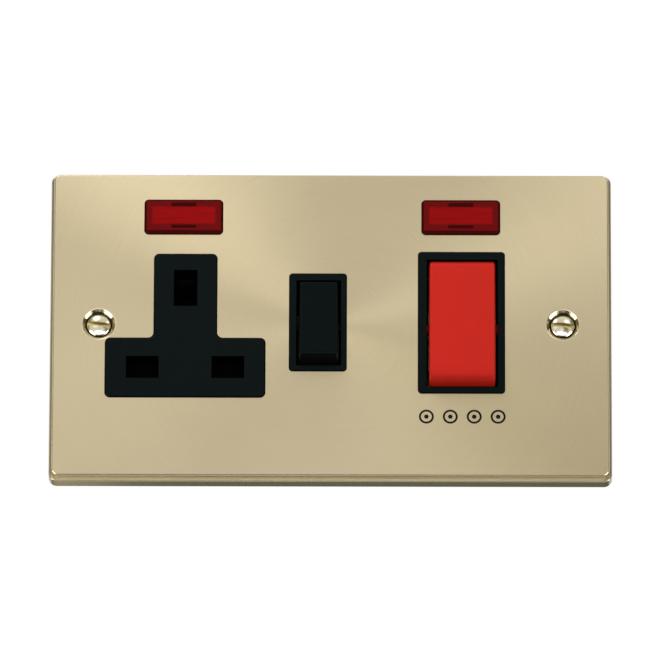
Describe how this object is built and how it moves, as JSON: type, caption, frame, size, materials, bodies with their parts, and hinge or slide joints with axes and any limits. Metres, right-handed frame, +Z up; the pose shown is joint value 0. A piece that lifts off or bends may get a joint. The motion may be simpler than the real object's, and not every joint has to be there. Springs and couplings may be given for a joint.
{
  "type": "cooker switch",
  "caption": "Cooker control unit on a satin brass wall plate: a large red rocker switch beside a switched three-pin socket, each under a red neon indicator.",
  "frame": {"origin": "midway between the two fixing screws, on the plane where the plate's rim meets the wall", "axes": "+X to the right seen from the front, +Y into the wall, +Z up"},
  "size_m": [0.146, 0.0321, 0.086],
  "materials": {
    "satin_brass": "satin, rotary brushed",
    "bright_brass": "bright",
    "contact_brass": "plain rolled",
    "black_moulding": "fine satin moulded",
    "black_rocker": "smooth moulded",
    "red_rocker": "smooth moulded",
    "red_lens": "translucent ribbed",
    "lamp_glass": "clear",
    "resistor_body": "lacquered",
    "shutter_plastic": "moulded",
    "plunger_plastic": "moulded",
    "housing_plastic": "moulded",
    "spring_steel": "drawn wire",
    "plated_steel": "zinc plated"
  },
  "bodies": {
    "unit": {"front_plate": "satin_brass", "fixing_screws": "bright_brass", "front_moulding": "black_moulding", "socket_neon_lens": "red_lens", "cooker_neon_lens": "red_lens", "socket_neon_lamp": "lamp_glass", "cooker_neon_lamp": "lamp_glass", "socket_neon_resistor": "resistor_body", "cooker_neon_resistor": "resistor_body", "shutter_spring": "spring_steel", "supply_line_terminal": "contact_brass", "supply_neutral_terminal": "contact_brass", "load_line_terminal": "contact_brass", "load_neutral_terminal": "contact_brass", "socket_fulcrum": "contact_brass", "line_busbar": "contact_brass", "neutral_busbar": "contact_brass", "socket_line_contact": "contact_brass", "socket_neutral_contact": "contact_brass", "earth_contact": "contact_brass", "earth_terminal": "contact_brass", "plate_earth_strap": "contact_brass", "terminal_screws": "bright_brass", "rear_housing": "housing_plastic", "housing_screws": "plated_steel", "plate_clips": "plated_steel"},
    "socket_rocker": {"socket_rocker": "black_rocker", "socket_plunger_spring": "spring_steel"},
    "cooker_rocker": {"cooker_rocker": "red_rocker", "cooker_line_plunger_spring": "spring_steel", "cooker_neutral_plunger_spring": "spring_steel"},
    "socket_plunger": {"socket_plunger": "plunger_plastic"},
    "cooker_line_plunger": {"cooker_line_plunger": "plunger_plastic"},
    "cooker_neutral_plunger": {"cooker_neutral_plunger": "plunger_plastic"},
    "socket_moving_contact": {"socket_moving_contact": "contact_brass"},
    "cooker_line_moving_contact": {"cooker_line_moving_contact": "contact_brass"},
    "cooker_neutral_moving_contact": {"cooker_neutral_moving_contact": "contact_brass"},
    "shutter": {"shutter": "shutter_plastic"}
  },
  "joints": [
    {"name": "socket_switch", "type": "hinge", "parent": "unit", "child": "socket_rocker", "pos_m": [-0.00315, -0.0024, 0.0003], "axis": [1, 0, 0], "range_deg": [0, 18]},
    {"name": "cooker_switch", "type": "hinge", "parent": "unit", "child": "cooker_rocker", "pos_m": [0.03415, -0.0014, 0.0003], "axis": [1, 0, 0], "range_deg": [0, 11]},
    {"name": "socket_plunger_slide", "type": "slide", "parent": "socket_rocker", "child": "socket_plunger", "axis": [0, 0.9877, -0.1564], "range_m": [-0.001, 0], "stiffness_N_per_m": 400, "springref_m": 0.002, "deforming": ["socket_plunger_spring"]},
    {"name": "cooker_line_plunger_slide", "type": "slide", "parent": "cooker_rocker", "child": "cooker_line_plunger", "axis": [0, 0.9954, -0.0958], "range_m": [-0.001, 0], "stiffness_N_per_m": 400, "springref_m": 0.002, "deforming": ["cooker_line_plunger_spring"]},
    {"name": "cooker_neutral_plunger_slide", "type": "slide", "parent": "cooker_rocker", "child": "cooker_neutral_plunger", "axis": [0, 0.9954, -0.0958], "range_m": [-0.001, 0], "stiffness_N_per_m": 400, "springref_m": 0.002, "deforming": ["cooker_neutral_plunger_spring"]},
    {"name": "socket_contact_rock", "type": "hinge", "parent": "unit", "child": "socket_moving_contact", "pos_m": [-0.00315, 0.011, 0.0003], "axis": [1, 0, 0], "range_deg": [-18, 0]},
    {"name": "cooker_line_contact_rock", "type": "hinge", "parent": "unit", "child": "cooker_line_moving_contact", "pos_m": [0.02857, 0.012, 0.0003], "axis": [1, 0, 0], "range_deg": [-11, 0]},
    {"name": "cooker_neutral_contact_rock", "type": "hinge", "parent": "unit", "child": "cooker_neutral_moving_contact", "pos_m": [0.03973, 0.012, 0.0003], "axis": [1, 0, 0], "range_deg": [-11, 0]},
    {"name": "shutter_slide", "type": "slide", "parent": "unit", "child": "shutter", "axis": [0, 0, -1], "range_m": [0, 0.0064], "stiffness_N_per_m": 120, "springref_m": -0.004, "deforming": ["shutter_spring"]}
  ],
  "couplings": [
    {"joint": "socket_contact_rock", "follows": "socket_switch", "ratio": -1},
    {"joint": "cooker_line_contact_rock", "follows": "cooker_switch", "ratio": -1},
    {"joint": "cooker_neutral_contact_rock", "follows": "cooker_switch", "ratio": -1}
  ]
}
